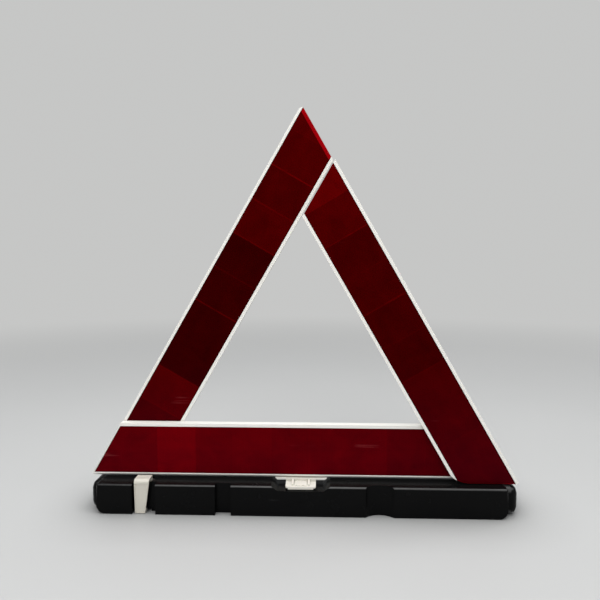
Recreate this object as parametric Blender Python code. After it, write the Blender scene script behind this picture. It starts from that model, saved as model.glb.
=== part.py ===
"""Folding roadside warning triangle on its storage case.

Three reflector arms stand as an equilateral triangle. The two upright arms fold on rivets at
the ends of the base arm, which plugs into a white foot that turns in a saddle on top of the
black case. The case is a trough, open underneath, that holds the folded arms.

Metres, +Z up. The origin is on the floor, under the middle of the case. The triangle stands
parallel to the XZ plane, a little in front of it, and is seen from -Y.
"""

import math

import bmesh
import bpy
from mathutils import Matrix, Vector

MM = 0.001

# Triangle
SIDE = 450 * MM  # outer side of the standing triangle
ARM_WIDTH = 57 * MM
ARM_THICKNESS = 8.5 * MM
LAYER = 9.2 * MM  # from one arm's mid-plane to the next
LEAN = math.radians(60)
TRIANGLE_Y = -10 * MM  # mid-plane of the base arm, and the foot's axis
APEX_GAP = 2.4 * MM  # between the right arm's end and the left arm's edge
TIP_TRIM = 3 * MM

# Case
CASE_LEFT = -212 * MM
CASE_RIGHT = 210.5 * MM
CASE_FRONT = -35 * MM
CASE_REAR = 35 * MM
CASE_HEIGHT = 31.5 * MM
WALL = 2.2 * MM
CASE_EDGE_RADIUS = 2 * MM
CASE_FOOT_RADIUS = 7 * MM  # lower end corners
LEFT_LOBE_REACH = 9 * MM
RIGHT_LOBE_REACH = 13 * MM
LOBE_HALF_DEPTH = 27 * MM
LOBE_RADIUS = 8 * MM
SADDLE_HALF_FLOOR = 23.4 * MM
SADDLE_HALF_TOP = 30.5 * MM
SADDLE_DEPTH = 4.8 * MM
SADDLE_FLOOR = 1.8 * MM  # thickness
HOLLOW_HALF_WIDTH = 8.2 * MM  # square groove in the front
HOLLOW_X = -80 * MM
HOLLOW_DEPTH = 7 * MM
SCOOP_X = 81 * MM  # round groove in the front
SCOOP_HALF_WIDTH = 14.5 * MM
SCOOP_DEPTH = 6.5 * MM
DRAIN_X = -82 * MM
DRAIN_Y = -8 * MM
DRAIN_RADIUS = 2.6 * MM

# Gap between the case and the arms above it
ARM_CLEARANCE = 1.5 * MM
BASE_EDGE = CASE_HEIGHT + ARM_CLEARANCE
HALF = ARM_WIDTH / 2
PIVOT_Z = BASE_EDGE + HALF
PIVOT_X = SIDE / 2 - HALF / math.tan(LEAN / 2)
TAIL_RADIUS = HALF + ARM_CLEARANCE - 0.4 * MM

# Arm section, measured back from the front of the lip
OUTER_LIP = 3.0 * MM
INNER_LIP = 2.6 * MM
END_LIP = 1.4 * MM
LENS_SINK = 0.4 * MM
LENS_THICKNESS = 2.4 * MM
BACKING_THICKNESS = 1.2 * MM
TRAY_DEPTH = 4.6 * MM
TRAY_FLOOR = 1.2 * MM
GAP = 0.3 * MM
RIB = 1.6 * MM
POCKET_PITCH = 40 * MM
BASE_POCKETS = (-160 * MM, 160 * MM)  # span of the rear pockets along each arm
LEFT_POCKETS = (20 * MM, 340 * MM)
RIGHT_POCKETS = (16 * MM, 296 * MM)

# Arm hinges
RIVET_RADIUS = 3.0 * MM
RIVET_HOLE = 3.2 * MM
RIVET_HEAD = 5.8 * MM
COUNTERBORE = 6.2 * MM
COUNTERBORE_DEPTH = 2.3 * MM
WASHER_THICKNESS = 0.6 * MM
FRICTION_WASHER = 9 * MM

# Foot
FOOT_HALF_WIDTH = 15.7 * MM
FOOT_REACH = 21.8 * MM
FOOT_CORNER = 2.6 * MM
FOOT_UNDER = 28.5 * MM
FOOT_PLATE = 1.7 * MM
FOOT_WALL_IN = 4.6 * MM
FOOT_WALL_OUT = 7.0 * MM
FOOT_WALL_TOP = 37.5 * MM
FOOT_FRONT_TOP = 33.2 * MM  # the front wall stops below the arm's lip
GUSSET_X = 8.4 * MM
GUSSET = 1.8 * MM
GUSSET_REACH = 17.5 * MM
HUB_RADIUS = 9 * MM
STEM_RADIUS = 5 * MM
SCREW_RADIUS = 1.8 * MM
PEG_X = 12.5 * MM
PEG_RADIUS = 1.6 * MM
KEY_HALF_TOP = 27.5 * MM

# Stowage clip
CLIP_X = -164.7 * MM
CLIP_HALF_WIDTH = 7.7 * MM
CLIP_HALF_FOOT = 5.25 * MM
CLIP_FOOT_SHIFT = -1.95 * MM
CLIP_BAY_X = -162.4 * MM
CLIP_BAY_HALF = 12.2 * MM
CLIP_BAY_DEPTH = 8.5 * MM
CLIP_THICKNESS = 1.8 * MM
CLIP_RISE = 4.5 * MM  # its top above the case
CLIP_PIN_Y = -20.5 * MM
CLIP_PIN_Z = 30.4 * MM
CLIP_BARREL = 2.1 * MM
CLIP_PIN_RADIUS = 1.0 * MM
CLIP_SWING = 6.2 * MM  # room behind the pin for the raised web

ROUND = 32  # facets of a round piece


# Materials

def material(name, colour, roughness, metallic=0.0):
    made = bpy.data.materials.new(name)
    made.use_nodes = True
    shader = made.node_tree.nodes["Principled BSDF"]
    shader.inputs["Base Color"].default_value = (*colour, 1)
    shader.inputs["Roughness"].default_value = roughness
    shader.inputs["Metallic"].default_value = metallic
    made.diffuse_color = (*colour, 1)
    return made


# Solids

def add(name, mesh, look, parent=None, smooth=False):
    mesh.normal_update()
    bmesh.ops.recalc_face_normals(mesh, faces=mesh.faces)
    data = bpy.data.meshes.new(name)
    mesh.to_mesh(data)
    mesh.free()
    if smooth:
        data.shade_smooth()
        data.set_sharp_from_angle(angle=math.radians(35))
    thing = bpy.data.objects.new(name, data)
    bpy.context.collection.objects.link(thing)
    thing.parent = parent
    if look:
        data.materials.append(look)
    return thing


def boolean(target, mesh, operation="DIFFERENCE"):
    """Cuts or joins target with a helper solid that is given in target's own space."""
    helper = add(target.name + "_helper", mesh, None, target.parent)
    helper.hide_render = True
    helper.display_type = "WIRE"
    step = target.modifiers.new(operation.lower(), "BOOLEAN")
    step.operation = operation
    step.solver = "EXACT"
    step.object = helper


def soften(target, width, segments=2, angle=40):
    step = target.modifiers.new("soft_edges", "BEVEL")
    step.width = width
    step.segments = segments
    step.limit_method = "ANGLE"
    step.angle_limit = math.radians(angle)


def prism(outline, low, high, along="Y", mesh=None):
    """A flat outline extruded from low to high. Along Y the outline is (x, z), along X it is
    (y, z), and along Z it is (x, y)."""
    place = {
        "Y": lambda a, b, h: (a, h, b),
        "X": lambda a, b, h: (h, a, b),
        "Z": lambda a, b, h: (a, b, h),
    }[along]
    mesh = mesh or bmesh.new()
    near = [mesh.verts.new(place(a, b, low)) for a, b in outline]
    far = [mesh.verts.new(place(a, b, high)) for a, b in outline]
    mesh.faces.new(near)
    mesh.faces.new(far)
    count = len(outline)
    for i in range(count):
        j = (i + 1) % count
        mesh.faces.new((near[i], near[j], far[j], far[i]))
    return mesh


def box(low, high, mesh=None):
    outline = [(low[0], low[2]), (high[0], low[2]), (high[0], high[2]), (low[0], high[2])]
    return prism(outline, low[1], high[1], mesh=mesh)


def arc(centre, radius, start, end, steps):
    """Points on a circle from one angle to another, in degrees."""
    turn = [math.radians(start + (end - start) * i / steps) for i in range(steps + 1)]
    return [(centre[0] + radius * math.cos(t), centre[1] + radius * math.sin(t)) for t in turn]


def circle(centre, radius, facets=ROUND):
    return arc(centre, radius, 0, 360, facets)[:-1]


def turned(profile, axis_at, along, facets=ROUND):
    """A closed (radius, height) profile turned about a line through axis_at along an axis."""
    mesh = bmesh.new()
    to_axis = {
        "Z": Matrix.Identity(3),
        "Y": Matrix(((1, 0, 0), (0, 0, 1), (0, -1, 0))),
        "X": Matrix(((0, 0, 1), (0, 1, 0), (-1, 0, 0))),
    }[along]
    rings = []
    for radius, height in profile:
        if radius == 0:
            ring = [mesh.verts.new(to_axis @ Vector((0, 0, height)) + Vector(axis_at))]
        else:
            ring = [
                mesh.verts.new(to_axis @ Vector((a, b, height)) + Vector(axis_at))
                for a, b in circle((0, 0), radius, facets)
            ]
        rings.append(ring)
    closed = profile[0][0] != 0
    pairs = list(zip(rings, rings[1:]))
    if closed:
        pairs.append((rings[-1], rings[0]))
    for near, far in pairs:
        for i in range(facets):
            j = (i + 1) % facets
            corners = [near[i % len(near)], near[j % len(near)], far[j % len(far)], far[i % len(far)]]
            kept = [v for k, v in enumerate(corners) if v not in corners[:k]]
            mesh.faces.new(kept)
    return mesh


def empty(name, at, turn_y=0.0, parent=None):
    marker = bpy.data.objects.new(name, None)
    marker.empty_display_size = 0.02
    bpy.context.collection.objects.link(marker)
    marker.parent = parent
    marker.location = at
    marker.rotation_euler = (0, turn_y, 0)
    return marker


# Arms. Each is drawn in its own frame: X along the arm, Z across it, and the front lip at
# y = -ARM_THICKNESS / 2.

FRONT = -ARM_THICKNESS / 2
BACK = ARM_THICKNESS / 2


def arm_pieces(name, parent, outline, lens_outline, pocket_span, looks):
    """The white tray, the red lens and its backing plate."""
    tray = add(name + "_housing", prism(outline, FRONT, BACK), looks["white"], parent, smooth=True)
    soften(tray, 0.6 * MM)
    boolean(tray, prism(lens_outline(GAP), FRONT - MM, FRONT + TRAY_DEPTH))
    pockets = bmesh.new()
    start, end = pocket_span
    count = max(1, round((end - start) / POCKET_PITCH))
    pitch = (end - start) / count
    reach = HALF - OUTER_LIP
    for i in range(count):
        low = (start + i * pitch + RIB / 2, FRONT + TRAY_DEPTH + TRAY_FLOOR, -reach)
        high = (start + (i + 1) * pitch - RIB / 2, BACK + MM, reach)
        box(low, high, pockets)
    boolean(tray, pockets)
    front = FRONT + LENS_SINK
    lens = add(
        name + "_reflector",
        prism(lens_outline(0), front, front + LENS_THICKNESS),
        looks["red"],
        parent,
        smooth=True,
    )
    soften(lens, 0.5 * MM)
    front += LENS_THICKNESS + GAP
    add(
        name + "_backing",
        prism(lens_outline(-MM), front, front + BACKING_THICKNESS),
        looks["silver"],
        parent,
    )
    return tray


def head_seat(tray, at):
    """Hole for a rivet whose head hides behind the lens backing."""
    floor = FRONT + TRAY_DEPTH
    boolean(tray, prism(circle(at, RIVET_HOLE), floor, BACK + MM))
    boolean(tray, prism(circle(at, COUNTERBORE), floor - 0.1 * MM, floor + 1.5 * MM))


def tail_seat(tray, at):
    """Hole and rear counterbore for a rivet's tail and washer."""
    boolean(tray, prism(circle(at, RIVET_HOLE), FRONT - MM, BACK + MM))
    boolean(tray, prism(circle(at, COUNTERBORE), BACK - COUNTERBORE_DEPTH, BACK + MM))


def hinge_pieces(side, parent, at, head_layer, looks):
    """Rivet, tail washer and friction washer of one arm hinge. The head sits in the arm at
    head_layer and the tail in the arm one layer behind it."""
    head = head_layer + FRONT + TRAY_DEPTH + 0.2 * MM
    tail_floor = head_layer + LAYER + BACK - COUNTERBORE_DEPTH
    tail = tail_floor + WASHER_THICKNESS + 0.3 * MM
    x, z = at
    profile = [
        (0, head),
        (RIVET_HEAD, head),
        (RIVET_HEAD, head + 1.1 * MM),
        (RIVET_RADIUS, head + 1.1 * MM),
        (RIVET_RADIUS, tail),
        (4.8 * MM, tail),
        (4.0 * MM, tail + 1.1 * MM),
        (0, tail + 1.1 * MM),
    ]
    add(side + "_hinge_rivet", turned(profile, (x, 0, z), "Y"), looks["steel"], parent, True)
    low = tail_floor + 0.15 * MM
    washer = [
        (RIVET_RADIUS + 0.2 * MM, low),
        (RIVET_HEAD, low),
        (RIVET_HEAD, low + WASHER_THICKNESS),
        (RIVET_RADIUS + 0.2 * MM, low + WASHER_THICKNESS),
    ]
    add(side + "_hinge_washer", turned(washer, (x, 0, z), "Y"), looks["steel"], parent, True)
    low = head_layer + BACK + 0.15 * MM
    friction = [
        (RIVET_RADIUS + 0.2 * MM, low),
        (FRICTION_WASHER, low),
        (FRICTION_WASHER, low + 0.4 * MM),
        (RIVET_RADIUS + 0.2 * MM, low + 0.4 * MM),
    ]
    add(side + "_friction_washer", turned(friction, (x, 0, z), "Y"), looks["nylon"], parent, True)


def base_arm(parent, looks):
    tip = -SIDE / 2
    inner_tip = tip + ARM_WIDTH / math.tan(LEAN)
    outline = [(tip + TIP_TRIM, -HALF)]
    outline += arc((PIVOT_X, 0), HALF, -90, 90, 12)
    outline += [(inner_tip, HALF), (tip + TIP_TRIM / 2, -HALF + TIP_TRIM / 2 * math.tan(LEAN))]
    hidden_end = SIDE / 2 - ARM_WIDTH / math.sin(LEAN) + 6 * MM

    def lens(spread):
        low = -HALF + OUTER_LIP - spread
        high = HALF - INNER_LIP + spread

        def left(z):
            return tip + (z + HALF) / math.tan(LEAN) + END_LIP / math.sin(LEAN) - spread

        def right(z):
            return hidden_end - (z + HALF) / math.tan(LEAN) + spread

        return [(left(low), low), (right(low), low), (right(high), high), (left(high), high)]

    tray = arm_pieces("base_arm", parent, outline, lens, BASE_POCKETS, looks)
    head_seat(tray, (-PIVOT_X, 0))
    tail_seat(tray, (PIVOT_X, 0))


def left_arm(parent, looks):
    outer_end = SIDE - HALF / math.tan(LEAN / 2)
    slope = 1 / math.tan(LEAN)

    def end(z):
        return outer_end - (HALF - z) * slope

    outline = arc((0, 0), HALF, 90, 270, 12)
    outline += [(end(-HALF), -HALF), (end(HALF), HALF)]
    hidden = HALF - 4 * MM  # how far the lens goes below the base arm's inner edge

    def lens(spread):
        low = -HALF + INNER_LIP - spread
        high = HALF - OUTER_LIP + spread

        def start(z):
            return (hidden - z * math.cos(LEAN)) / math.sin(LEAN) - spread

        reach = 0.2 * MM + (2 * MM if spread > 0 else 0)
        return [
            (start(low), low),
            (end(low) + reach, low),
            (end(high) + reach, high),
            (start(high), high),
        ]

    tray = arm_pieces("left_arm", parent, outline, lens, LEFT_POCKETS, looks)
    tail_seat(tray, (0, 0))


def right_arm(parent, looks):
    # Its outer edge is at -Z here.
    slope = 1 / math.tan(LEAN)
    outer_end = SIDE - HALF / math.tan(LEAN / 2) - (ARM_WIDTH + APEX_GAP) / math.sin(LEAN)

    def end(z):
        return outer_end - (z + HALF) * slope

    def heel(z):
        """The level cut at the foot of the arm, at TAIL_RADIUS below the pivot."""
        return -(TAIL_RADIUS + z * math.cos(math.pi - LEAN)) / math.sin(LEAN)

    heel_turn = math.degrees(math.asin(HALF / TAIL_RADIUS))
    outline = [(end(-HALF), -HALF), (end(HALF), HALF)]
    outline += arc((0, 0), TAIL_RADIUS, 180 - heel_turn, 150, 5)
    outline += [(heel(-HALF + TIP_TRIM), -HALF + TIP_TRIM), (heel(-HALF) + TIP_TRIM, -HALF)]

    def lens(spread):
        low = -HALF + OUTER_LIP - spread
        high = HALF - INNER_LIP + spread
        reach = 2 * MM if spread > 0 else 0
        radius = TAIL_RADIUS + reach
        turn = math.degrees(math.asin(high / radius))
        shape = [(end(low) + reach, low), (end(high) + reach, high)]
        shape += arc((0, 0), radius, 180 - turn, 150, 5)
        shape += [(heel(low) - reach, low)]
        return shape

    tray = arm_pieces("right_arm", parent, outline, lens, RIGHT_POCKETS, looks)
    head_seat(tray, (0, 0))


# Foot

def foot_pieces(parent, looks):
    top = FOOT_UNDER + FOOT_PLATE
    corner_x = FOOT_HALF_WIDTH - FOOT_CORNER
    corner_y = FOOT_REACH - FOOT_CORNER
    plate = arc((corner_x, -corner_y), FOOT_CORNER, -90, 0, 4)
    plate += arc((corner_x, corner_y), FOOT_CORNER, 0, 90, 4)
    plate += arc((-corner_x, corner_y), FOOT_CORNER, 90, 180, 4)
    plate += arc((-corner_x, -corner_y), FOOT_CORNER, 180, 270, 4)
    foot = add("swivel_foot", prism(plate, FOOT_UNDER, top, "Z"), looks["white"], parent, True)
    bury = 0.4 * MM
    for side in (-1, 1):
        wall_top = FOOT_FRONT_TOP if side < 0 else FOOT_WALL_TOP
        inner, outer = sorted((side * FOOT_WALL_IN, side * FOOT_WALL_OUT))
        wall = box(
            (-FOOT_HALF_WIDTH, inner, top - bury),
            (FOOT_HALF_WIDTH, outer, wall_top),
        )
        boolean(foot, wall, "UNION")
        start = side * (FOOT_WALL_OUT - bury)
        gusset = [
            (start, top - bury),
            (side * GUSSET_REACH, top - bury),
            (side * GUSSET_REACH, top + 0.8 * MM),
            (side * (FOOT_WALL_OUT + 2 * MM), wall_top - 0.5 * MM),
            (start, wall_top - 0.5 * MM),
        ]
        for x in (-GUSSET_X, GUSSET_X):
            rib = prism(gusset, x - GUSSET / 2, x + GUSSET / 2, "X")
            boolean(foot, rib, "UNION")
    saddle = CASE_HEIGHT - SADDLE_DEPTH
    hub = [
        (0, saddle - SADDLE_FLOOR - 0.2 * MM),
        (STEM_RADIUS, saddle - SADDLE_FLOOR - 0.2 * MM),
        (STEM_RADIUS, saddle + 0.3 * MM),
        (HUB_RADIUS, saddle + 0.3 * MM),
        (HUB_RADIUS, FOOT_UNDER + bury),
        (0, FOOT_UNDER + bury),
    ]
    boolean(foot, turned(hub, (0, 0, 0), "Z"), "UNION")
    for x in (-PEG_X, PEG_X):
        hole = prism(circle((x, 0), PEG_RADIUS + GAP, 16), FOOT_UNDER - MM, top + MM, "Z")
        boolean(foot, hole)
    under = saddle - SADDLE_FLOOR
    hole = prism(circle((0, 0), SCREW_RADIUS + GAP, 16), under - MM, top - 0.5 * MM, "Z")
    boolean(foot, hole)
    washer_top = under - 0.5 * MM
    washer = [
        (SCREW_RADIUS + GAP, washer_top - 1.2 * MM),
        (HUB_RADIUS, washer_top - 1.2 * MM),
        (HUB_RADIUS, washer_top),
        (SCREW_RADIUS + GAP, washer_top),
    ]
    add("foot_washer", turned(washer, (0, 0, 0), "Z"), looks["steel"], parent, True)
    head_top = washer_top - 1.4 * MM
    screw = [
        (0, head_top - 2.2 * MM),
        (3.0 * MM, head_top - 2.2 * MM),
        (3.8 * MM, head_top - 1.2 * MM),
        (3.8 * MM, head_top),
        (SCREW_RADIUS, head_top),
        (SCREW_RADIUS, top - 1.0 * MM),
        (0, top - 1.0 * MM),
    ]
    screw = add("foot_screw", turned(screw, (0, 0, 0), "Z"), looks["steel"], parent, True)
    slot = box((-0.5 * MM, -5 * MM, head_top - 3 * MM), (0.5 * MM, 5 * MM, head_top - 1.4 * MM))
    boolean(screw, slot)


def key_piece(parent, looks):
    """The plug under the base arm, given from the base arm's mid-line."""
    top = -HALF - GAP
    low = FOOT_UNDER + FOOT_PLATE + GAP - PIVOT_Z
    half_low = KEY_HALF_TOP - (top - low)
    outline = [(-half_low, low), (half_low, low), (KEY_HALF_TOP, top), (-KEY_HALF_TOP, top)]
    key = add("base_arm_key", prism(outline, FRONT, BACK), looks["white"], parent, True)
    for x in (-PEG_X, PEG_X):
        peg = turned(
            [(0, low - 1.6 * MM), (1.2 * MM, low - 1.6 * MM), (PEG_RADIUS, low - 1.1 * MM),
             (PEG_RADIUS, low + MM), (0, low + MM)],
            (x, 0, 0),
            "Z",
            16,
        )
        boolean(key, peg, "UNION")


# Case

def case_block():
    """The case's outer block, with every edge rounded but the flat rim that it stands on."""
    radius = CASE_FOOT_RADIUS
    outline = arc((CASE_RIGHT - radius, radius), radius, -90, 0, 5)
    outline += [(CASE_RIGHT, CASE_HEIGHT), (CASE_LEFT, CASE_HEIGHT)]
    outline += arc((CASE_LEFT + radius, radius), radius, 180, 270, 5)
    block = prism(outline, CASE_FRONT, CASE_REAR)
    rounded = []
    for edge in block.edges:
        ends = [vert.co for vert in edge.verts]
        across = abs(ends[0].y - ends[1].y) > MM
        at_top = min(co.z for co in ends) > CASE_HEIGHT - MM
        in_rim = max(co.z for co in ends) < 0.1 * MM
        if at_top or not (across or in_rim):
            rounded.append(edge)
    bmesh.ops.bevel(
        block, geom=rounded, offset=CASE_EDGE_RADIUS, segments=3, profile=0.5, affect="EDGES"
    )
    return block


def case_piece(looks):
    case = add("case_shell", case_block(), looks["black"], None, True)
    middle = (CASE_FRONT + CASE_REAR) / 2
    boolean(case, lobe(CASE_LEFT, -LEFT_LOBE_REACH, middle), "UNION")
    boolean(case, lobe(CASE_RIGHT, RIGHT_LOBE_REACH, middle), "UNION")

    # Saddle for the foot, across the whole top
    floor = CASE_HEIGHT - SADDLE_DEPTH
    past = (SADDLE_HALF_TOP - SADDLE_HALF_FLOOR) / SADDLE_DEPTH * MM
    saddle = [
        (-SADDLE_HALF_FLOOR, floor),
        (SADDLE_HALF_FLOOR, floor),
        (SADDLE_HALF_TOP + past, CASE_HEIGHT + MM),
        (-SADDLE_HALF_TOP - past, CASE_HEIGHT + MM),
    ]
    boolean(case, prism(saddle, CASE_FRONT - MM, CASE_REAR + MM))
    stem_hole = circle((0, TRIANGLE_Y), STEM_RADIUS + GAP)
    boolean(case, prism(stem_hole, floor - 5 * MM, floor + MM, "Z"))

    # Grooves in the front
    below, above = -MM, CASE_HEIGHT + MM
    front = CASE_FRONT - MM
    boolean(case, box(
        (HOLLOW_X - HOLLOW_HALF_WIDTH, front, below),
        (HOLLOW_X + HOLLOW_HALF_WIDTH, CASE_FRONT + HOLLOW_DEPTH, above),
    ))
    scoop_radius = (SCOOP_HALF_WIDTH**2 + SCOOP_DEPTH**2) / (2 * SCOOP_DEPTH)
    scoop = circle((SCOOP_X, CASE_FRONT + SCOOP_DEPTH - scoop_radius), scoop_radius, 48)
    boolean(case, prism(scoop, below, above, "Z"))
    boolean(case, box(
        (CLIP_BAY_X - CLIP_BAY_HALF, front, below),
        (CLIP_BAY_X + CLIP_BAY_HALF, CASE_FRONT + CLIP_BAY_DEPTH, above),
    ))

    # Seat of the clip: top channel with room for its swing, barrel pocket, pin hole, hook notch
    reach = CLIP_HALF_WIDTH + 0.5 * MM
    boolean(case, box(
        (CLIP_X - reach, front, CLIP_PIN_Z - 0.7 * MM),
        (CLIP_X + reach, CLIP_PIN_Y + CLIP_SWING, above),
    ))
    barrel = CLIP_BARREL + 0.5 * MM
    boolean(case, box(
        (CLIP_X - reach, CLIP_PIN_Y - barrel, CLIP_PIN_Z - barrel),
        (CLIP_X + reach, CLIP_PIN_Y + barrel, above),
    ))
    pin_hole = circle((CLIP_PIN_Y, CLIP_PIN_Z), CLIP_PIN_RADIUS + GAP, 16)
    pin_reach = CLIP_HALF_WIDTH + 3.1 * MM
    boolean(case, prism(pin_hole, CLIP_X - pin_reach, CLIP_X + pin_reach, "X"))
    boolean(case, box(
        (CLIP_X - reach, CASE_FRONT, below),
        (CLIP_X + reach, CLIP_PIN_Y - 3 * MM, 3.6 * MM),
    ))
    boolean(case, prism(circle((DRAIN_X, DRAIN_Y), DRAIN_RADIUS, 20), 20 * MM, above, "Z"))

    for low, high in trough_spaces(middle):
        boolean(case, box(low, high))
    return case


def lobe(end, reach, middle):
    """Rounded bulge of one end of the case, which holds the tips of the folded arms."""
    outside = end + reach
    low, high = sorted((end - math.copysign(6 * MM, reach), outside))
    mesh = box(
        (low, middle - LOBE_HALF_DEPTH, 0.6 * MM),
        (high, middle + LOBE_HALF_DEPTH, CASE_HEIGHT - 0.6 * MM),
    )
    outer = [
        edge for edge in mesh.edges
        if any(abs(v.co.x - outside) < 1e-6 for v in edge.verts)
    ]
    bmesh.ops.bevel(mesh, geom=outer, offset=LOBE_RADIUS, segments=4, profile=0.5, affect="EDGES")
    return mesh


def trough_spaces(middle):
    """Boxes that hollow the case from below and leave the grooves and the clip seat a wall."""
    under = -MM
    ceiling = CASE_HEIGHT - WALL
    left = CASE_LEFT + WALL
    right = CASE_RIGHT - WALL
    rear = CASE_REAR - WALL
    front = CASE_FRONT + WALL
    deep = CASE_FRONT + CLIP_BAY_DEPTH + WALL
    seat = CLIP_PIN_Y + CLIP_SWING + WALL
    saddle = SADDLE_HALF_TOP + 1.2 * MM
    saddle_ceiling = CASE_HEIGHT - SADDLE_DEPTH - SADDLE_FLOOR
    bay = (CLIP_BAY_X - CLIP_BAY_HALF - WALL, CLIP_BAY_X + CLIP_BAY_HALF + WALL)
    hollow = (HOLLOW_X - HOLLOW_HALF_WIDTH - WALL, HOLLOW_X + HOLLOW_HALF_WIDTH + WALL)
    scoop = (SCOOP_X - SCOOP_HALF_WIDTH - WALL, SCOOP_X + SCOOP_HALF_WIDTH + WALL)
    lap = 0.5 * MM
    spaces = [
        ((left, deep, under), (right, rear, saddle_ceiling)),
        ((left, seat, saddle_ceiling - lap), (-saddle, rear, ceiling)),
        ((bay[1], deep, saddle_ceiling - lap), (-saddle, seat + lap, ceiling)),
        ((left, deep, saddle_ceiling - lap), (bay[0], seat + lap, ceiling)),
        ((saddle, deep, saddle_ceiling - lap), (right, rear, ceiling)),
        ((left, front, under), (bay[0], deep + lap, ceiling)),
        ((bay[1], front, under), (hollow[0], deep + lap, ceiling)),
        ((hollow[1], front, under), (-saddle, deep + lap, ceiling)),
        ((-saddle - lap, front, under), (saddle + lap, deep + lap, saddle_ceiling)),
        ((saddle, front, under), (scoop[0], deep + lap, ceiling)),
        ((scoop[1], front, under), (right, deep + lap, ceiling)),
    ]
    for inside, outside in (
        (left + lap, CASE_LEFT - LEFT_LOBE_REACH + WALL),
        (right - lap, CASE_RIGHT + RIGHT_LOBE_REACH - WALL),
    ):
        low, high = sorted((inside, outside))
        # Shallow enough that its corners keep a wall under the rounded lobe
        depth = LOBE_HALF_DEPTH - 0.75 * LOBE_RADIUS
        spaces.append((
            (low, middle - depth, under),
            (high, middle + depth, CASE_HEIGHT - LOBE_RADIUS),
        ))
    return spaces


# Clip

def clip_pieces(parent, looks):
    """Drawn from the pin's axis, which is the joint."""
    top = CASE_HEIGHT + CLIP_RISE - CLIP_PIN_Z
    under = top - CLIP_THICKNESS
    web = CLIP_THICKNESS / 2
    face = CASE_FRONT + 1.6 * MM - CLIP_PIN_Y
    back = face + CLIP_THICKNESS
    sole = 0.5 * MM - CLIP_PIN_Z
    hook = CASE_FRONT + CLIP_BAY_DEPTH + 1.6 * MM - CLIP_PIN_Y
    bend = 3 * MM
    profile = [(-web, under), (-web, 0), (web, 0), (web, top - 0.6 * MM), (web - 0.6 * MM, top)]
    profile += arc((face + bend, top - bend), bend, 90, 180, 5)
    profile += [(face, sole), (hook, sole), (hook, sole + 1.8 * MM), (back, sole + 1.8 * MM)]
    profile += [(back, under - 1.0 * MM), (back + 1.0 * MM, under)]
    mesh = prism(profile, -CLIP_HALF_WIDTH, CLIP_HALF_WIDTH, "X")
    for vert in mesh.verts:
        if vert.co.z < sole + 3 * MM:
            vert.co.x *= CLIP_HALF_FOOT / CLIP_HALF_WIDTH
            vert.co.x += CLIP_FOOT_SHIFT
    clip = add("stow_clip", mesh, looks["white"], parent, True)
    barrel = prism(circle((0, 0), CLIP_BARREL, 24), -CLIP_HALF_WIDTH, CLIP_HALF_WIDTH, "X")
    boolean(clip, barrel, "UNION")
    hole = circle((0, 0), CLIP_PIN_RADIUS + 0.15 * MM, 16)
    boolean(clip, prism(hole, -CLIP_HALF_WIDTH - MM, CLIP_HALF_WIDTH + MM, "X"))


def clip_pin(looks):
    reach = CLIP_HALF_WIDTH + 2.8 * MM
    shape = circle((CLIP_PIN_Y, CLIP_PIN_Z), CLIP_PIN_RADIUS, 16)
    pin = prism(shape, CLIP_X - reach, CLIP_X + reach, "X")
    add("clip_pin", pin, looks["steel"], None, True)


def main():
    for old in list(bpy.data.objects):
        bpy.data.objects.remove(old, do_unlink=True)
    looks = {
        "white": material("white_plastic", (0.83, 0.81, 0.74), 0.42),
        "red": material("red_reflector", (0.16, 0.001, 0.004), 0.25),
        "silver": material("silver_backing", (0.5, 0.5, 0.5), 0.35, 0.6),
        "black": material("black_plastic", (0.008, 0.008, 0.009), 0.38),
        "steel": material("zinc_steel", (0.55, 0.55, 0.56), 0.35, 1.0),
        "nylon": material("nylon", (0.8, 0.78, 0.7), 0.5),
    }
    case_piece(looks)
    clip_pin(looks)
    foot = empty("foot_axis", (0, TRIANGLE_Y, 0))
    foot_pieces(foot, looks)
    base = empty("base_arm_frame", (0, 0, PIVOT_Z), parent=foot)
    base_arm(base, looks)
    key_piece(base, looks)
    hinge_pieces("left", base, (-PIVOT_X, 0), 0, looks)
    left = empty("left_hinge_axis", (-PIVOT_X, LAYER, 0), -LEAN, base)
    left_arm(left, looks)
    right = empty("right_hinge_axis", (PIVOT_X, -LAYER, 0), LEAN - math.pi, base)
    right_arm(right, looks)
    hinge_pieces("right", right, (0, 0), 0, looks)
    clip = empty("clip_axis", (CLIP_X, CLIP_PIN_Y, CLIP_PIN_Z))
    clip_pieces(clip, looks)


main()
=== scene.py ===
"""Looks of a folding roadside warning triangle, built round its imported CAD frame.

Metres, +Z up. The triangle stands parallel to the XZ plane and is seen from -Y.
"""

import math

import bmesh
import bpy
from mathutils import Matrix, Vector

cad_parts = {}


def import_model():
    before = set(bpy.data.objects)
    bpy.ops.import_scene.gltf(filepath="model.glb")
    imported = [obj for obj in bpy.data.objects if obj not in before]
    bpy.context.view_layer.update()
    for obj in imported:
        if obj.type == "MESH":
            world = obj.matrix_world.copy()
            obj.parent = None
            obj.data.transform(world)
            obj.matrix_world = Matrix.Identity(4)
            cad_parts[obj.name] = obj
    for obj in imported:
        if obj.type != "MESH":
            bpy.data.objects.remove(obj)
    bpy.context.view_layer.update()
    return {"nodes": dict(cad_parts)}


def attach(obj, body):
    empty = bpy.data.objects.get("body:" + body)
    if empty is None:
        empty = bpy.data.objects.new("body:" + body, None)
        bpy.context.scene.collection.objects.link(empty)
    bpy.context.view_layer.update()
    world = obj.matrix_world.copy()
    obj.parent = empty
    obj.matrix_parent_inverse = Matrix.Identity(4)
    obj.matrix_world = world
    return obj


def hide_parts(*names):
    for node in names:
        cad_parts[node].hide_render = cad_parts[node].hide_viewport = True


MM = 0.001
BACKDROP = (0.565, 0.568, 0.562)
FLOOR_FADE = (0.45, 2.2)  # distances between which the floor turns into the backdrop

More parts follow.
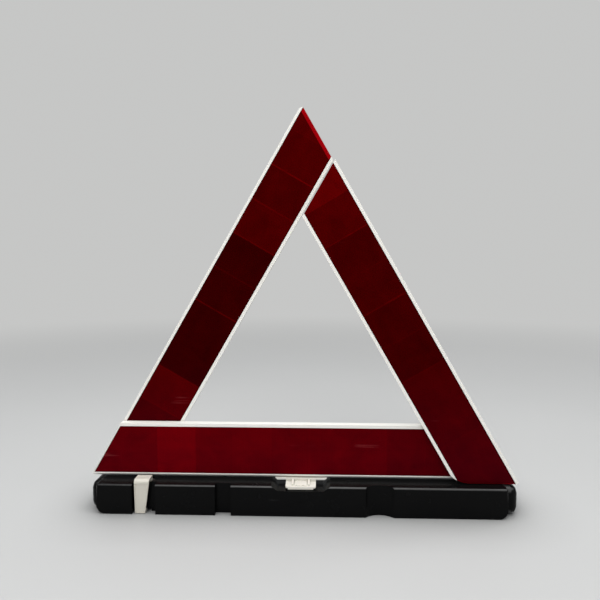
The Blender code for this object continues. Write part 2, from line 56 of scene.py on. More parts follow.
# Triangle
SIDE = 450 * MM
HALF = 28.5 * MM  # half an arm's width
THICKNESS = 8.5 * MM
LAYER = 9.2 * MM
LEAN = math.radians(60)
TRIANGLE_Y = -10 * MM
PIVOT_X = 175.637 * MM
PIVOT_Z = 61.5 * MM
FRONT = -THICKNESS / 2
BACK = THICKNESS / 2
APEX_GAP = 2.4 * MM
TIP_TRIM = 3 * MM
TAIL_RADIUS = 29.6 * MM
LENS_SINK = 0.4 * MM
LENS_THICKNESS = 2.4 * MM
TRAY_DEPTH = 4.6 * MM
TRAY_FLOOR = 1.2 * MM
GAP = 0.3 * MM
RIB = 1.6 * MM
POCKET_PITCH = 40 * MM
SEAM_HALF_WIDTH = 1.1 * MM
SEAM_DEPTH = 0.12 * MM
STRIP = 3.9 * MM  # bevelled top end of the left lens
HEEL_STRIP = 1.3 * MM  # bevelled foot of the right lens
LENS_GAP = 0.12 * MM
BASE_CHAMFER = 2.0 * MM  # lower front edge of the base arm
LENS_EDGE = 0.45 * MM
STRIP_FALL = 1.3 * MM  # how far a bevelled end drops back
SEAM_MARGIN = 3 * MM
# Widths of the white lips beside each lens, at the arm's -Z and +Z side
BASE_LIPS = (3.2 * MM, 3.7 * MM)
LEFT_LIPS = (3.5 * MM, 3.0 * MM)
RIGHT_LIPS = (3.4 * MM, 3.3 * MM)
BASE_END_LIP = 1.4 * MM
OPEN_END = 2 * MM  # how far a tray's recess runs past an end without a lip
TRAY_EDGE = 0.9 * MM
POCKET_MARGIN = 3.4 * MM
POCKET_CORNER = 2.2 * MM
HEAD_SEAT = 1.5 * MM
APEX_LIP = 2.7 * MM  # width of lip that runs out to nothing at the apex
RIVET_HOLE = 3.2 * MM
COUNTERBORE = 6.2 * MM
COUNTERBORE_DEPTH = 2.3 * MM

# Case
CASE_LEFT = -212 * MM
CASE_RIGHT = 210.5 * MM
CASE_FRONT = -35 * MM
CASE_REAR = 35 * MM
CASE_HEIGHT = 31.5 * MM
WALL = 2.2 * MM
EDGE_RADIUS = 2.1 * MM
LEFT_HIGHLIGHT = 0.3  # strength of the painted highlight on the case's edges at its left end, against 1 from the middle on
FOOT_RADIUS = 7 * MM
LOBE_HALF_DEPTH = 27 * MM
LOBE_RADIUS = 8 * MM
LEFT_LOBE = -221 * MM
RIGHT_LOBE = 223.5 * MM
SADDLE_HALF_FLOOR = 23.4 * MM
SADDLE_HALF_TOP = 30.5 * MM
SADDLE_DEPTH = 4.8 * MM
SADDLE_FLOOR = 1.8 * MM
HOLLOW_X = -80 * MM
HOLLOW_HALF_WIDTH = 8.2 * MM
HOLLOW_DEPTH = 7 * MM
SCOOP_X = 81 * MM
SCOOP_HALF_WIDTH = 14.5 * MM
SCOOP_DEPTH = 6.5 * MM
DRAIN = (-82 * MM, -8 * MM)
DRAIN_RADIUS = 2.6 * MM
MARK = (-0.4 * MM, 15.6 * MM)  # shallow slot in the front, x and z
MARK_HALF = (4.1 * MM, 0.5 * MM)
MARK_DEPTH = 0.35 * MM
CLIP_SLOT = 3.6 * MM  # height of the gap in the front wall behind the clip's foot

# Foot and key
FOOT_HALF_WIDTH = 15.7 * MM
FOOT_REACH = 21.8 * MM
FOOT_CORNER = 2.6 * MM
FOOT_UNDER = 28.5 * MM
FOOT_TOP = 30.2 * MM
WALL_IN = 4.6 * MM
WALL_OUT = 7.0 * MM
WALL_TOP = 37.5 * MM
FRONT_WALL_TOP = 33.2 * MM
SKIRT_LOW = 27.2 * MM  # lip under the plate's front and rear edges
SKIRT = 1.4 * MM
GUSSET_X = 8.4 * MM
GUSSET_HALF = 1.0 * MM
GUSSET_REACH = 17.5 * MM
GUSSET_FOOT = 0.8 * MM
TONGUE_HALF = 6.2 * MM
TONGUE_RISE = 0.7 * MM
TONGUE_NOTCHES = ((2.6 * MM, 1.1 * MM), (-4.4 * MM, 0.7 * MM))  # middle and half width
SLOT_HALF = 0.9 * MM
HUB_RADIUS = 9 * MM
STEM_RADIUS = 5 * MM
SCREW_HOLE = 2.1 * MM
PEG_X = 12.5 * MM
PEG_RADIUS = 1.6 * MM
KEY_HALF_TOP = 27.5 * MM

# Clip
CLIP_X = -164.7 * MM
CLIP_HALF_WIDTH = 7.7 * MM
CLIP_HALF_FOOT = 5.25 * MM
CLIP_FOOT_SHIFT = -1.95 * MM
CLIP_BAY_X = -162.4 * MM
CLIP_BAY_HALF = 12.2 * MM
CLIP_BAY_DEPTH = 8.5 * MM
CLIP_THICKNESS = 1.8 * MM
CLIP_RISE = 4.5 * MM
CLIP_PIN_Y = -20.5 * MM
CLIP_PIN_Z = 30.4 * MM
CLIP_BARREL = 2.1 * MM
CLIP_PIN_RADIUS = 1.0 * MM
CLIP_SWING = 6.2 * MM
CLIP_SETBACK = 1.6 * MM
CLIP_SOLE = 0.5 * MM
CLIP_BEND = 3.4 * MM
CLIP_BORDER = 1.3 * MM
CLIP_PANEL = 0.5 * MM  # depth of the sunken panel on its front

# Lens tiles: place of the first seam from the pivot, pitch, shade of each tile, strength of the
# painted highlight (glow) along each seam
BASE_TILES = {
    "start": -152.8 * MM,
    "pitch": 40.4 * MM,
    "shades": (1.02, 1.42, 1.08, 1.1, 0.98, 1.0, 0.98, 0.84, 0.8),
    "glow": (0.15, 0.1, 0.05, 0.05, 0.1, 0.0, 0.1, 0.1),
}
LEFT_TILES = {
    "start": 48.7 * MM,
    "pitch": 40.6 * MM,
    "shades": (0.92, 1.2, 0.5, 0.48, 0.55, 0.52, 1.05, 0.96, 1.1, 1.25),
    "glow": (0.25, 0.3, 0.0, 0.6, 0.2, 0.6, 0.5, 1.0, 0.0),
}
RIGHT_TILES = {
    "start": 22.5 * MM,
    "pitch": 39.5 * MM,
    "shades": (1.04, 1.0, 0.92, 0.7, 0.74, 0.84, 0.84, 1.15, 1.75),
    "glow": (0.1, 0.0, 0.2, 0.1, 0.5, 0.1, 0.55, 0.2),
}


PRISM_SIZE = 1.3 * MM  # half the pitch of the prisms behind the lens
CRIMSON = (160 * MM, 50 * MM)  # heights between which the red turns bluer

# Camera: focal length as a share of the picture's width, place, and its turn down and to the side
FOCAL = 549.4 / 600
SENSOR = 36
EYE = (18.2 * MM, -581.7 * MM, 259.5 * MM)
EYE_DOWN = 3.84
EYE_ASIDE = 1.95


# Shader graphs

class Graph:
    """A material's node tree, with short calls for the nodes used here."""

    def __init__(self, name):
        self.material = bpy.data.materials.new(name)
        self.material.use_nodes = True
        self.tree = self.material.node_tree
        self.shader = self.tree.nodes["Principled BSDF"]

    def put(self, socket, value):
        if isinstance(value, bpy.types.NodeSocket):
            self.tree.links.new(value, socket)
        elif isinstance(value, tuple) and len(value) == 3 and socket.type == "RGBA":
            socket.default_value = (*value, 1)
        else:
            socket.default_value = value

    def node(self, kind, out=0, settings=(), **inputs):
        """Adds a node with its settings and inputs, and returns one of its outputs."""
        made = self.tree.nodes.new(kind)
        for key, value in dict(settings).items():
            setattr(made, key, value)
        for key, value in inputs.items():
            self.put(made.inputs[key.replace("_", " ")], value)
        return made.outputs[out]

    def place(self):
        return self.node("ShaderNodeTexCoord", "Object")

    def attribute(self, name, out="Fac"):
        return self.node("ShaderNodeAttribute", out, {"attribute_name": name})

    def noise(self, scale, detail=3.0, roughness=0.5, at=None, distortion=0.0):
        return self.node(
            "ShaderNodeTexNoise", "Fac", Vector=at or self.place(), Scale=scale, Detail=detail,
            Roughness=roughness, Distortion=distortion,
        )

    def stretch(self, at, scale, turn=(0, 0, 0)):
        return self.node("ShaderNodeMapping", 0, Vector=at, Scale=scale, Rotation=turn)

    def ramp(self, fac, stops):
        made = self.tree.nodes.new("ShaderNodeValToRGB")
        while len(made.color_ramp.elements) < len(stops):
            made.color_ramp.elements.new(1)
        for element, (at, value) in zip(made.color_ramp.elements, stops):
            element.position = at
            element.color = (*value, 1) if isinstance(value, tuple) else (value,) * 3 + (1,)
        self.put(made.inputs["Fac"], fac)
        return made.outputs["Color"]

    def math(self, operation, a, b=0.0, c=0.0, clamp=False):
        made = self.tree.nodes.new("ShaderNodeMath")
        made.operation = operation
        made.use_clamp = clamp
        for socket, value in zip(made.inputs, (a, b, c)):
            self.put(socket, value)
        return made.outputs[0]

    def vector(self, operation, a, b=None):
        """Vector arithmetic; b is a vector, or the factor of SCALE."""
        made = self.tree.nodes.new("ShaderNodeVectorMath")
        made.operation = operation
        self.put(made.inputs[0], a)
        if b is not None:
            self.put(made.inputs["Scale" if operation == "SCALE" else 1], b)
        return made.outputs["Value" if operation == "LENGTH" else "Vector"]

    def axis(self, vector, name):
        """The X, Y or Z part of a vector."""
        return self.node("ShaderNodeSeparateXYZ", name, Vector=vector)

    def span(self, value, low, high, start=0.0, end=1.0, smooth=False):
        """Maps low..high to start..end and holds the value at both ends."""
        made = self.tree.nodes.new("ShaderNodeMapRange")
        made.interpolation_type = "SMOOTHSTEP" if smooth else "LINEAR"
        limits = {"From Min": low, "From Max": high, "To Min": start, "To Max": end}
        for name, limit in limits.items():
            made.inputs[name].default_value = limit
        self.put(made.inputs["Value"], value)
        return made.outputs["Result"]

    def mix(self, fac, a, b, blend="MIX"):
        made = self.tree.nodes.new("ShaderNodeMix")
        made.data_type = "RGBA"
        made.blend_type = blend
        made.clamp_factor = True
        self.put(made.inputs["Factor"], fac)
        self.put(made.inputs[6], a)
        self.put(made.inputs[7], b)
        return made.outputs[2]

    def bump(self, layers):
        """Stacks (height, strength, distance) layers, finest last."""
        normal = None
        for height, strength, distance in layers:
            made = self.tree.nodes.new("ShaderNodeBump")
            self.put(made.inputs["Height"], height)
            made.inputs["Strength"].default_value = strength
            made.inputs["Distance"].default_value = distance
            if normal:
                self.put(made.inputs["Normal"], normal)
            normal = made.outputs["Normal"]
        self.put(self.shader.inputs["Normal"], normal)

    def finish(self, **inputs):
        for key, value in inputs.items():
            self.put(self.shader.inputs[key.replace("_", " ")], value)
        return self.material

    def occlusion(self, distance):
        return self.node("ShaderNodeAmbientOcclusion", "AO", {"samples": 6}, Distance=distance)

    def scratches(self, scale, turn):
        """Sparse fine lines, white on black."""
        at = self.stretch(self.place(), (0.05, 0.4, 1.0), turn)
        lines = self.noise(scale, 2.0, 0.5, at)
        broken = self.noise(28, 3.0)
        sharp = self.ramp(lines, [(0.0, 0), (0.665, 0), (0.69, 1), (0.72, 0)])
        return self.math("MULTIPLY", sharp, self.ramp(broken, [(0.5, 0), (0.62, 1)]))


def white_plastic(name, tint, reach=2.5 * MM, corner_shade=(0.52, 0.48, 0.42), unshaded=0.75):
    """Slightly cloudy white, with painted shade in corners: its reach, its colour and the openness
    where it ends."""
    g = Graph(name)
    cloud = g.noise(18, 4.0)
    colour = g.mix(cloud, tuple(0.93 * c for c in tint), tint)
    fine = g.noise(900, 3.0, 0.6)
    speck = g.ramp(g.noise(420, 2.0), [(0.0, 1), (0.76, 1), (0.8, 0.86), (1.0, 0.84)])
    colour = g.mix(0.5, colour, speck, "MULTIPLY")
    # Painted shade: the colour darkens where nearby surfaces close in, out to the reach.
    corner = g.ramp(g.occlusion(reach), [(0.0, corner_shade), (unshaded, (1, 1, 1))])
    colour = g.mix(0.8, colour, corner, "MULTIPLY")
    rough = g.math("MULTIPLY_ADD", g.noise(60, 4.0), 0.16, 0.34)
    g.bump([(g.noise(45, 2.0), 0.12, 0.4 * MM), (fine, 0.06, 0.05 * MM)])
    return g.finish(
        Base_Color=colour, Roughness=rough, Subsurface_Weight=0.06,
        Subsurface_Radius=(1.2 * MM, 1.0 * MM, 0.7 * MM), Subsurface_Scale=1.0,
    )


def black_plastic(name):
    """Deep black, with a painted highlight that turns the rounded edges along X grey and glossy,
    less so towards the left end.
    """
    g = Graph(name)
    cloud = g.noise(14, 5.0, 0.6)
    colour = g.mix(cloud, (0.0024, 0.0025, 0.0026), (0.0040, 0.0040, 0.0041))
    # Painted highlight: the rounded edges along X are lightened grey and made glossier, fading
    # towards the left end.
    facing = g.vector("ABSOLUTE", g.node("ShaderNodeNewGeometry", "Normal"))
    rounded = g.math("MINIMUM", g.axis(facing, "Y"), g.axis(facing, "Z"))
    rounded = g.math("SUBTRACT", rounded, g.axis(facing, "X"), clamp=True)
    edge_highlight = g.ramp(rounded, [(0.0, 0), (0.12, 0), (0.45, 1)])
    uneven = g.ramp(g.noise(30, 4.0, 0.6), [(0.25, 0.55), (0.7, 1)])
    edge_highlight = g.math("MULTIPLY", edge_highlight, uneven)
    highlight_fade = g.span(g.axis(g.place(), "X"), CASE_LEFT, 0.0, LEFT_HIGHLIGHT)
    edge_highlight = g.math("MULTIPLY", edge_highlight, highlight_fade)
    dust = g.ramp(g.noise(260, 4.0, 0.7), [(0.0, 0), (0.66, 0), (0.78, 0.5), (1.0, 0.7)])
    colour = g.mix(g.math("MULTIPLY", dust, 0.03), colour, (0.12, 0.11, 0.105))
    scuffs = g.scratches(70, (0.2, 0.5, 0.15))
    colour = g.mix(g.math("MULTIPLY", scuffs, 0.12), colour, (0.09, 0.09, 0.09))
    colour = g.mix(edge_highlight, colour, (0.055, 0.055, 0.054))
    grain = g.noise(1300, 3.0, 0.6)
    rough = g.ramp(g.noise(35, 5.0, 0.6), [(0.25, 0.2), (0.75, 0.3)])
    rough = g.mix(edge_highlight, rough, (0.3, 0.3, 0.3))
    gloss = g.math("MULTIPLY_ADD", edge_highlight, 0.3, 0.055)
    g.bump([(g.noise(22, 2.0), 0.2, 0.6 * MM), (grain, 0.1, 0.05 * MM), (scuffs, 0.1, 0.03 * MM)])
    return g.finish(Base_Color=colour, Roughness=rough, Specular_IOR_Level=gloss)


def lens_red(name, colour, strip=False):
    """Smooth red face over a field of small corner prisms, in tiles of slightly different shade."""
    g = Graph(name)
    at = g.attribute("arm", "Vector")
    cells = None
    for turn in (0, 60, 120):
        axis = g.stretch(at, (1, 1, 1), (0, 0, math.radians(turn)))
        wave = g.math("PINGPONG", g.axis(axis, "X"), PRISM_SIZE)
        wave = g.math("MULTIPLY", wave, 1 / PRISM_SIZE)
        cells = wave if cells is None else g.math("MINIMUM", cells, wave)
    mottle = g.noise(38, 5.0, 0.62, at, 0.6)
    streak = g.noise(120, 3.0, 0.5, g.stretch(at, (0.06, 1, 1)))
    tone = g.attribute("tone") if not strip else 1.0
    shade = g.math("MULTIPLY_ADD", mottle, 0.9, 0.56)
    shade = g.math("MULTIPLY", shade, tone)
    shade = g.math("MULTIPLY", shade, g.ramp(streak, [(0.3, 0.94), (0.7, 1.06)]))
    facet = g.ramp(cells, [(0.0, 1.22), (0.12, 1.04), (0.6, 0.96), (1.0, 0.9)])
    shade = g.math("MULTIPLY", shade, facet)
    low = g.span(g.axis(g.place(), "Z"), *CRIMSON)
    crimson = g.vector("SCALE", (0, 0, 0.0022), low)
    look = g.vector("ADD", g.vector("SCALE", colour, shade), crimson)
    if not strip:
        # Painted highlight along the seams between tiles, as strong as each seam's glow.
        seam = g.attribute("seam")
        broken = g.ramp(g.noise(60, 3.0, 0.6, at), [(0.3, 0.15), (0.7, 1)])
        glow = g.math("MULTIPLY", seam, broken)
        look = g.mix(g.math("MULTIPLY", glow, 0.75), look, tuple(4.2 * c for c in colour))
    marks = g.ramp(g.noise(330, 4.0, 0.7), [(0.0, 0), (0.71, 0), (0.76, 1), (1.0, 1)])
    smudge = g.ramp(g.noise(30, 4.0, 0.7), [(0.0, 0), (0.58, 0), (0.78, 1)])
    marks = g.math("MULTIPLY", marks, smudge)
    scuffs = g.scratches(90, (0.3, 0.9, 0.2))
    marks = g.math("MAXIMUM", marks, g.math("MULTIPLY", scuffs, 0.5))
    look = g.mix(g.math("MULTIPLY", marks, 0.5), look, (0.3, 0.05, 0.05))
    rough = g.ramp(g.noise(26, 4.0, 0.6), [(0.3, 0.13), (0.75, 0.26)])
    rough = g.math("ADD", rough, g.math("MULTIPLY", marks, 0.3), clamp=True)
    g.bump([(g.noise(16, 2.0, 0.5, at), 0.1, 0.5 * MM), (cells, 0.05, 0.05 * MM)])
    return g.finish(
        Base_Color=look, Roughness=rough, Specular_IOR_Level=0.06,
        Specular_Tint=(1.0, 0.03, 0.06, 1.0),
    )


def metal(name, colour, turned):
    g = Graph(name)
    brushed = g.noise(700, 3.0, 0.6, g.stretch(g.place(), (1, turned, 1)))
    patina = g.noise(90, 5.0, 0.65)
    shade = g.mix(patina, tuple(0.72 * c for c in colour), colour)
    warm = g.mix(g.ramp(g.noise(40, 3.0), [(0.45, 0), (0.7, 0.5)]), shade, (0.5, 0.46, 0.36))
    rough = g.ramp(patina, [(0.3, 0.22), (0.75, 0.46)])
    g.bump([(brushed, 0.25, 0.03 * MM)])
    return g.finish(Base_Color=warm, Metallic=1.0, Roughness=rough)


def sheet(name, colour):
    g = Graph(name)
    grain = g.noise(500, 4.0, 0.6)
    shade = g.mix(grain, tuple(0.8 * c for c in colour), colour)
    g.bump([(g.noise(60, 3.0), 0.2, 0.1 * MM), (grain, 0.2, 0.03 * MM)])
    rough = g.ramp(grain, [(0.3, 0.32), (0.7, 0.45)])
    return g.finish(Base_Color=shade, Roughness=rough, Metallic=0.55)


def nylon(name):
    g = Graph(name)
    cloud = g.noise(80, 4.0)
    shade = g.mix(cloud, (0.62, 0.59, 0.5), (0.74, 0.71, 0.62))
    g.bump([(g.noise(800, 3.0), 0.2, 0.04 * MM)])
    return g.finish(
        Base_Color=shade, Roughness=g.ramp(cloud, [(0.3, 0.42), (0.7, 0.6)]),
        Subsurface_Weight=0.1, Subsurface_Radius=(1 * MM, 1 * MM, 0.8 * MM), Subsurface_Scale=1.0,
    )


# Meshes

def prism(outline, low, high, along="Y", mesh=None):
    """A flat outline extruded from low to high: (x, z) along Y, (y, z) along X, (x, y) along Z."""
    place = {
        "Y": lambda a, b, h: (a, h, b),
        "X": lambda a, b, h: (h, a, b),
        "Z": lambda a, b, h: (a, b, h),
    }[along]
    mesh = mesh or bmesh.new()
    near = [mesh.verts.new(place(a, b, low)) for a, b in outline]
    far = [mesh.verts.new(place(a, b, high)) for a, b in outline]
    mesh.faces.new(near)
    mesh.faces.new(far)
    count = len(outline)
    for i in range(count):
        j = (i + 1) % count
        mesh.faces.new((near[i], near[j], far[j], far[i]))
    return mesh


def box(low, high, mesh=None):
    outline = [(low[0], low[2]), (high[0], low[2]), (high[0], high[2]), (low[0], high[2])]
    return prism(outline, low[1], high[1], mesh=mesh)


def arc(centre, radius, start, end, steps):
    turn = [math.radians(start + (end - start) * i / steps) for i in range(steps + 1)]
    return [(centre[0] + radius * math.cos(t), centre[1] + radius * math.sin(t)) for t in turn]


def circle(centre, radius, facets=48):
    return arc(centre, radius, 0, 360, facets)[:-1]


def round_edges(mesh, width, segments, keep):
    """Rounds the edges for which keep(edge) is true. Nothing clamps the width."""
    picked = [edge for edge in mesh.edges if keep(edge)]
    bmesh.ops.bevel(
        mesh, geom=picked, offset=width, segments=segments, profile=0.5, affect="EDGES"
    )
    return mesh


def link(name, mesh):
    bmesh.ops.recalc_face_normals(mesh, faces=mesh.faces)
    data = bpy.data.meshes.new(name)
    mesh.to_mesh(data)
    mesh.free()
    made = bpy.data.objects.new(name, data)
    bpy.context.scene.collection.objects.link(made)
    return made


class Solid:
    """A mesh under construction: cuts and joins are queued, then baked into one mesh."""

    def __init__(self, name, mesh):
        self.thing = link(name, mesh)
        self.tools = []

    def shape(self, mesh, operation):
        tool = link(self.thing.name + "_tool", mesh)
        step = self.thing.modifiers.new("shape", "BOOLEAN")
        step.operation = operation
        step.solver = "EXACT"
        step.object = tool
        self.tools.append(tool)

    def cut(self, mesh):
        self.shape(mesh, "DIFFERENCE")

    def join(self, mesh):
        self.shape(mesh, "UNION")

    def bake(self, matrix=None, edge=0.0, segments=2, angle=32):
        """Applies the steps, softens the remaining sharp edges and moves the mesh into place."""
        thing = self.thing
        if edge:
            step = thing.modifiers.new("edge", "BEVEL")
            step.width = edge
            step.segments = segments
            step.limit_method = "ANGLE"
            step.angle_limit = math.radians(angle)
            step.harden_normals = False
            step.miter_outer = "MITER_ARC"
        graph = bpy.context.evaluated_depsgraph_get()
        graph.update()
        data = bpy.data.meshes.new_from_object(thing.evaluated_get(graph))
        data.name = thing.name
        thing.modifiers.clear()
        thing.data = data
        for tool in self.tools:
            bpy.data.objects.remove(tool, do_unlink=True)
        self.tools = []
        mesh = bmesh.new()
        mesh.from_mesh(data)
        bmesh.ops.remove_doubles(mesh, verts=mesh.verts, dist=0.002 * MM)
        mesh.to_mesh(data)
        mesh.free()
        if matrix:
            data.transform(matrix)
        return thing


def dress(thing, looks, body, slot, *nodes, angle=32):
    """Shading, material, body and the CAD nodes that the piece stands for. The slot argument is not
    used.
    """
    thing.data.shade_smooth()
    thing.data.set_sharp_from_angle(angle=math.radians(angle))
    for look in looks:
        thing.data.materials.append(look)
    step = thing.modifiers.new("normals", "WEIGHTED_NORMAL")
    step.keep_sharp = True
    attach(thing, body)
    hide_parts(*nodes)
    return thing


# Places of the arms. Each is drawn with X along the arm, Z across it and the front at -Y.

BASE_PLACE = Matrix.Translation((0, TRIANGLE_Y, PIVOT_Z))
LEFT_PLACE = (
    Matrix.Translation((-PIVOT_X, TRIANGLE_Y + LAYER, PIVOT_Z))
    @ Matrix.Rotation(-LEAN, 4, "Y")
)
RIGHT_PLACE = (
    Matrix.Translation((PIVOT_X, TRIANGLE_Y - LAYER, PIVOT_Z))
    @ Matrix.Rotation(LEAN - math.pi, 4, "Y")
)


def inset(outline, distances):
    """Moves each edge of a convex outline inwards by its own distance."""
    count = len(outline)
    area = sum(
        outline[i][0] * outline[(i + 1) % count][1] - outline[(i + 1) % count][0] * outline[i][1]
        for i in range(count)
    )
    sign = 1 if area > 0 else -1
    lines = []
    for i in range(count):
        a, b = Vector(outline[i]), Vector(outline[(i + 1) % count])
        along = (b - a).normalized()
        inward = Vector((-along.y, along.x)) * sign
        lines.append((a + inward * distances[i], along))
    made = []
    for i in range(count):
        (p, d), (q, e) = lines[i - 1], lines[i]
        cross = d.x * e.y - d.y * e.x
        if abs(cross) < 1e-5:
            made.append((q.x, q.y))
            continue
        gap = q - p
        t = (gap.x * e.y - gap.y * e.x) / cross
        made.append((p.x + d.x * t, p.y + d.y * t))
    return made


def lens(name, outline, strips, tiles, place, looks, body):
    """The red lens: a softened plate with bevelled strips at some ends and a seam between tiles.

    strips gives each outline edge its bevel width, or 0 for an ordinary soft edge. looks are the
    materials of the plate and of the strips. The mesh carries three attributes for them: arm (the
    place along and across the arm), seam (the strength of the painted highlight along a seam) and
    tone (the shade of a tile).
    """
    front = FRONT + LENS_SINK
    widths = [strip or LENS_EDGE for strip in strips]
    inner = inset(outline, widths)
    count = len(outline)
    mesh = bmesh.new()
    top = [mesh.verts.new((x, front, z)) for x, z in inner]
    shoulder = []
    for i, (x, z) in enumerate(outline):
        fall = STRIP_FALL if strips[i] or strips[i - 1] else LENS_EDGE
        shoulder.append(mesh.verts.new((x, front + fall, z)))
    back = [mesh.verts.new((x, front + LENS_THICKNESS, z)) for x, z in outline]
    mesh.faces.new(top)
    mesh.faces.new(back)
    for i in range(count):
        j = (i + 1) % count
        slope = mesh.faces.new((top[i], top[j], shoulder[j], shoulder[i]))
        mesh.faces.new((shoulder[i], shoulder[j], back[j], back[i]))
        if strips[i]:
            slope.material_index = 1
    low = min(x for x, z in outline) + SEAM_MARGIN
    high = max(x for x, z in outline) - SEAM_MARGIN
    seams = [(tiles["start"] + i * tiles["pitch"], glow) for i, glow in enumerate(tiles["glow"])]
    seams = [(at, glow) for at, glow in seams if low < at < high]
    for at, glow in seams:
        for step in (-SEAM_HALF_WIDTH, 0, SEAM_HALF_WIDTH):
            geometry = list(mesh.verts) + list(mesh.edges) + list(mesh.faces)
            bmesh.ops.bisect_plane(
                mesh, geom=geometry, dist=1e-7, plane_co=(at + step, 0, 0), plane_no=(1, 0, 0)
            )
    arm = mesh.verts.layers.float_vector.new("arm")
    lit = mesh.verts.layers.float.new("seam")
    shade = mesh.faces.layers.float.new("tone")
    for vert in mesh.verts:
        vert[arm] = (vert.co.x, vert.co.z, 0)
        for at, glow in seams:
            if abs(vert.co.x - at) < 1e-6 and vert.co.y < front + 1e-6:
                vert[lit] = glow
                vert.co.y += SEAM_DEPTH
    for part in mesh.faces:
        middle = part.calc_center_median().x
        tile = int(math.floor((middle - tiles["start"]) / tiles["pitch"])) + 1
        part[shade] = tiles["shades"][max(0, min(tile, len(tiles["shades"]) - 1))]
    thing = link(name, mesh)
    thing.data.transform(place)
    return dress(thing, looks, body, "red_reflector", name.replace("_lens", "_reflector"), angle=20)


def tray(
    name, outline, lens_outline, pockets, place, look, body, nodes, seats, chamfer=0.0, trim=(),
):
    """The white tray, with a recess for its lens in front and ribbed pockets behind.

    pockets are the ends of the row of pockets along the arm. seats are (place, kind) of its rivet
    holes. chamfer bevels the lower front edge, and trim is an outline cut off the tray.
    """
    def corner(edge):
        return edge.calc_face_angle(0) > 0.5

    def upright(edge):
        return abs(edge.verts[0].co.y - edge.verts[1].co.y) > MM

    made = Solid(name, round_edges(prism(outline, FRONT, BACK), TRAY_EDGE, 4, corner))
    if chamfer:
        wedge = [
            (FRONT - MM, -HALF - MM),
            (FRONT + chamfer + MM, -HALF - MM),
            (FRONT - MM, -HALF + chamfer + MM),
        ]
        made.cut(prism(wedge, -SIDE, SIDE, "X"))
    made.cut(prism(lens_outline, FRONT - MM, FRONT + TRAY_DEPTH))
    if trim:
        made.cut(prism(trim, FRONT - MM, BACK + MM))
    start, end = pockets
    count = round((end - start) / POCKET_PITCH)
    reach = HALF - POCKET_MARGIN
    floor = FRONT + TRAY_DEPTH
    holes = bmesh.new()
    for i in range(count):
        low = start + i * POCKET_PITCH + RIB / 2
        high = start + (i + 1) * POCKET_PITCH - RIB / 2
        cell = box((low, floor + TRAY_FLOOR, -reach), (high, BACK + MM, reach))
        round_edges(cell, POCKET_CORNER, 4, upright)
        part = bpy.data.meshes.new("cell")
        cell.to_mesh(part)
        cell.free()
        holes.from_mesh(part)
        bpy.data.meshes.remove(part)
    made.cut(holes)
    for at, kind in seats:
        if kind == "head":
            made.cut(prism(circle(at, RIVET_HOLE), floor, BACK + MM))
            made.cut(prism(circle(at, COUNTERBORE), floor - 0.1 * MM, floor + HEAD_SEAT))
        else:
            made.cut(prism(circle(at, RIVET_HOLE), FRONT - MM, BACK + MM))
            made.cut(prism(circle(at, COUNTERBORE), BACK - COUNTERBORE_DEPTH, BACK + MM))
    thing = made.bake(place, 0.22 * MM)
    return dress(thing, [look], body, "white_plastic", *nodes)


def base_arm(looks):
    tip = -SIDE / 2
    slope = math.tan(LEAN)
    outline = [(tip + TIP_TRIM, -HALF)]
    outline += arc((PIVOT_X, 0), HALF, -90, 90, 32)
    outline += [
        (tip + 2 * HALF / slope, HALF),
        (tip + TIP_TRIM / 2, -HALF + TIP_TRIM / 2 * slope),
    ]
    hidden_end = SIDE / 2 - 2 * HALF / math.sin(LEAN) + 6 * MM

    def plate(spread):
        low = -HALF + BASE_LIPS[0] - spread
        high = HALF - BASE_LIPS[1] + spread
        start = tip + BASE_END_LIP / math.sin(LEAN) - spread
        return [
            (start + (low + HALF) / slope, low),
            (hidden_end - (low + HALF) / slope + spread, low),
            (hidden_end - (high + HALF) / slope + spread, high),
            (start + (high + HALF) / slope, high),
        ]

    tray(
        "base_arm_tray", outline, plate(LENS_GAP), (-160 * MM, 160 * MM), BASE_PLACE,
        looks["white"], "base_arm", ["base_arm_housing"],
        [((-PIVOT_X, 0), "head"), ((PIVOT_X, 0), "tail")], BASE_CHAMFER,
    )
    lens(
        "base_arm_lens", plate(0), [0, 0, 0, 0], BASE_TILES, BASE_PLACE,
        [looks["base_red"], looks["bright_red"]], "base_arm",
    )


def left_arm(looks):
    outer_end = SIDE - HALF / math.tan(LEAN / 2)
    slope = 1 / math.tan(LEAN)

    def end(z):
        return outer_end - (HALF - z) * slope

    outline = arc((0, 0), HALF, 90, 270, 32)
    outline += [(end(-HALF), -HALF), (end(HALF), HALF)]
    hidden = HALF - 4 * MM

    def plate(spread):
        low = -HALF + LEFT_LIPS[0] - spread
        high = HALF - LEFT_LIPS[1] + spread
        reach = 0.2 * MM + (OPEN_END if spread > 0 else 0)
        made = [((hidden - low * math.cos(LEAN)) / math.sin(LEAN) - spread, low)]
        if spread == 0:
            made.append((end(low) + reach - 6 * MM, low))
        made += [(end(low) + reach, low), (end(high) + reach, high)]
        if spread == 0:
            made.append((end(high) + reach - 6 * MM, high))
        made.append(((hidden - high * math.cos(LEAN)) / math.sin(LEAN) - spread, high))
        return made

    # The lip along the outer edge runs out to nothing at the apex
    edge = HALF - APEX_LIP
    tip = [
        (end(edge) + 0.4 * MM, edge),
        (end(edge) + 6 * MM, edge),
        (end(edge) + 6 * MM, HALF + 2 * MM),
        (end(edge) - 6 * MM, HALF + 2 * MM),
    ]
    tray(
        "left_arm_tray", outline, plate(LENS_GAP), (20 * MM, 340 * MM), LEFT_PLACE,
        looks["white"], "left_arm", ["left_arm_housing"], [((0, 0), "tail")], trim=tip,
    )
    lens(
        "left_arm_lens", plate(0), [0, 0, STRIP, 0, 0, 0], LEFT_TILES, LEFT_PLACE,
        [looks["side_red"], looks["bright_red"]], "left_arm",
    )


